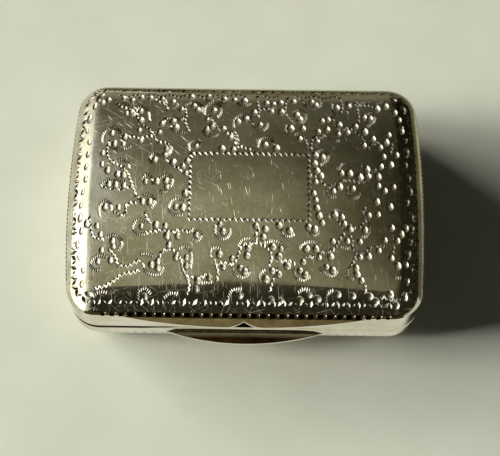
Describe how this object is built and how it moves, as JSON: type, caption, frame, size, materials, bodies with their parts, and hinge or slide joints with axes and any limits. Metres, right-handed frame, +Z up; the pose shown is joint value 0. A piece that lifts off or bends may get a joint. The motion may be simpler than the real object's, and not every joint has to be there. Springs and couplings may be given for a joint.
{
  "type": "vinaigrette",
  "caption": "Small cushion-shaped silver scent box: a hinged engraved lid with a bow-shaped thumb lip closes over a gilt collar and a hinged pierced grille that holds a sponge down.",
  "frame": {"origin": "middle of the case on its flat underside", "axes": "+X to the right along the width, -Y to the front where the lips are, +Y to the hinge, +Z up through the lid"},
  "size_m": [0.035, 0.0268, 0.0106],
  "materials": {
    "silver": "worn polished sterling silver with light tarnish in the engraving",
    "gilt": "fire-gilt silver, satin",
    "steel": "drawn wire",
    "sponge": "natural sponge, open pores"
  },
  "bodies": {
    "base": {"base_plate": "silver", "base_wall": "silver", "base_lip": "silver", "base_knuckle_left": "silver", "base_knuckle_middle": "silver", "base_knuckle_right": "silver", "hinge_pin": "steel", "hinge_plug_left": "silver", "hinge_plug_right": "silver", "bezel": "gilt", "grille_seat": "gilt", "grille_ear_left": "gilt", "grille_ear_right": "gilt", "grille_pin": "steel", "sponge": "sponge"},
    "lid": {"lid_top": "silver", "lid_wall": "silver", "lid_lip": "silver", "lid_knuckle_left": "silver", "lid_knuckle_right": "silver"},
    "grille": {"grille_plate": "gilt", "grille_knuckle": "gilt", "grille_tab": "gilt"}
  },
  "joints": [
    {"name": "lid_hinge", "type": "hinge", "parent": "base", "child": "lid", "pos_m": [0, 0.01255, 0.00428], "axis": [-1, 0, 0], "range_deg": [0, 100]},
    {"name": "grille_hinge", "type": "hinge", "parent": "base", "child": "grille", "pos_m": [0, 0.0108, 0.00355], "axis": [-1, 0, 0], "range_deg": [0, 90]}
  ],
  "couplings": [
    {"joint": "grille_hinge", "follows": "lid_hinge", "ratio": 0.9}
  ]
}
